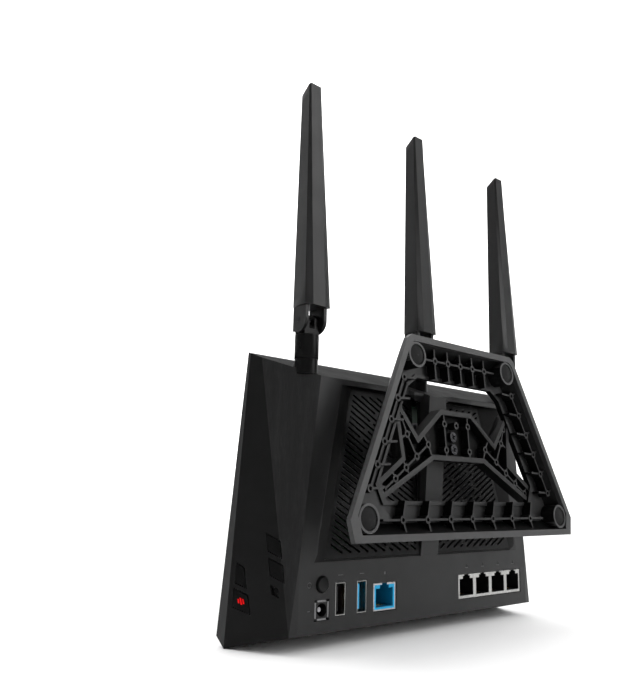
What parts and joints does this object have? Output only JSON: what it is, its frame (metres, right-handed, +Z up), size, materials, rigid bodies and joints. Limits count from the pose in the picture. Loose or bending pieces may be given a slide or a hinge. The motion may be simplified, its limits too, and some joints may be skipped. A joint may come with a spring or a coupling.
{
  "type": "wireless router",
  "caption": "Black wireless router with a faceted wedge housing, folding paddle antennas, a row of network, USB and power sockets, end keys and a ribbed trapezoid stand plate behind.",
  "frame": {"origin": "middle of the lower rim of the stand plate, on the plane of the plate's back face", "axes": "+Z up with the antennas standing, -Y to the front face, +Y out of the sockets, +X to the end with the keys"},
  "size_m": [0.212, 0.0689, 0.2737],
  "materials": {
    "shell_black": "fine spark-eroded texture",
    "front_black": "satin",
    "grille_black": "fine texture",
    "stand_black": "fine texture with polished rim",
    "neck_black": "satin",
    "pad_rubber": "soft satin",
    "plated_can": "bright nickel plating",
    "socket_black": "moulded",
    "socket_blue": "moulded",
    "usb_blue_plastic": "moulded",
    "contact_gold": "gold flash",
    "screw_steel": "black zinc",
    "inlet_black": "moulded",
    "pin_steel": "nickel plating",
    "button_black": "satin",
    "key_black": "satin",
    "key_lit": "smoked, with a red lit mark",
    "board_green": "solder mask",
    "sink_metal": "extruded",
    "shield_metal": "tinned",
    "parts_black": "moulded",
    "light_clear": "clear",
    "antenna_black": "satin",
    "collar_black": "satin",
    "bush_black": "satin",
    "radiator_copper": "copper strip",
    "switch_metal": "stamped"
  },
  "bodies": {
    "housing": {"rear_cover": "shell_black", "front_cover": "front_black", "indicator_lights": "light_clear", "grille_left": "grille_black", "grille_right": "grille_black", "stand_plate": "stand_black", "stand_pads": "pad_rubber", "stand_neck": "neck_black", "neck_screws": "screw_steel", "lan_can": "plated_can", "lan_insert": "socket_black", "lan_contacts": "contact_gold", "wan_can": "plated_can", "wan_insert": "socket_blue", "wan_contacts": "contact_gold", "usb_black_shell": "plated_can", "usb_black_tongue": "socket_black", "usb_blue_shell": "plated_can", "usb_blue_tongue": "usb_blue_plastic", "usb_contacts": "contact_gold", "dc_inlet": "inlet_black", "dc_pin": "pin_steel", "power_switch": "switch_metal", "key_board": "board_green", "key_switches": "switch_metal", "main_board": "board_green", "board_screws": "screw_steel", "heat_sink": "sink_metal", "shield_cans": "shield_metal", "board_parts": "parts_black", "bush_left": "bush_black", "bush_middle": "bush_black", "bush_right": "bush_black"},
    "power_button": {"power_button": "button_black"},
    "key_upper_rear": {"key_upper_rear": "key_black"},
    "key_lower_rear": {"key_lower_rear": "key_black"},
    "key_upper_front": {"key_upper_front": "key_black"},
    "key_lower_front": {"key_lower_front": "key_lit"},
    "reset_pin": {"reset_pin": "key_black"},
    "swivel_left": {"collar_left": "collar_black"},
    "antenna_left": {"paddle_left": "antenna_black", "hinge_pin_left": "pin_steel", "radiator_left": "radiator_copper"},
    "swivel_middle": {"collar_middle": "collar_black"},
    "antenna_middle": {"paddle_middle": "antenna_black", "hinge_pin_middle": "pin_steel", "radiator_middle": "radiator_copper"},
    "swivel_right": {"collar_right": "collar_black"},
    "antenna_right": {"paddle_right": "antenna_black", "hinge_pin_right": "pin_steel", "radiator_right": "radiator_copper"}
  },
  "joints": [
    {"name": "swivel_turn_left", "type": "hinge", "parent": "housing", "child": "swivel_left", "pos_m": [0.082, -0.03975, 0.08654], "axis": [0, 0, 1], "range_deg": [-165, 15]},
    {"name": "antenna_fold_left", "type": "hinge", "parent": "swivel_left", "child": "antenna_left", "pos_m": [0.082, -0.03975, 0.09954], "axis": [-1, 0, 0], "range_deg": [0, 90]},
    {"name": "swivel_turn_middle", "type": "hinge", "parent": "housing", "child": "swivel_middle", "pos_m": [0, -0.03975, 0.08654], "axis": [0, 0, 1], "range_deg": [-15, 15]},
    {"name": "antenna_fold_middle", "type": "hinge", "parent": "swivel_middle", "child": "antenna_middle", "pos_m": [0, -0.03975, 0.09954], "axis": [-1, 0, 0], "range_deg": [0, 80]},
    {"name": "swivel_turn_right", "type": "hinge", "parent": "housing", "child": "swivel_right", "pos_m": [-0.082, -0.03975, 0.08654], "axis": [0, 0, 1], "range_deg": [-15, 165]},
    {"name": "antenna_fold_right", "type": "hinge", "parent": "swivel_right", "child": "antenna_right", "pos_m": [-0.082, -0.03975, 0.09954], "axis": [-1, 0, 0], "range_deg": [0, 90]},
    {"name": "power_press", "type": "slide", "parent": "housing", "child": "power_button", "axis": [0, -1, 0], "range_m": [0, 0.0015], "stiffness_N_per_m": 400, "springref_m": -0.0015},
    {"name": "key_upper_rear_press", "type": "slide", "parent": "housing", "child": "key_upper_rear", "axis": [-0.9381, -0.3456, -0.025], "range_m": [0, 0.0008], "stiffness_N_per_m": 400, "springref_m": -0.001},
    {"name": "key_lower_rear_press", "type": "slide", "parent": "housing", "child": "key_lower_rear", "axis": [-0.9381, -0.3456, -0.025], "range_m": [0, 0.0008], "stiffness_N_per_m": 400, "springref_m": -0.001},
    {"name": "key_upper_front_press", "type": "slide", "parent": "housing", "child": "key_upper_front", "axis": [-0.9381, -0.3456, -0.025], "range_m": [0, 0.0008], "stiffness_N_per_m": 400, "springref_m": -0.001},
    {"name": "key_lower_front_press", "type": "slide", "parent": "housing", "child": "key_lower_front", "axis": [-0.9381, -0.3456, -0.025], "range_m": [0, 0.0008], "stiffness_N_per_m": 400, "springref_m": -0.001},
    {"name": "reset_press", "type": "slide", "parent": "housing", "child": "reset_pin", "axis": [-0.9381, -0.3456, -0.025], "range_m": [0, 0.0005], "stiffness_N_per_m": 300, "springref_m": -0.001}
  ]
}
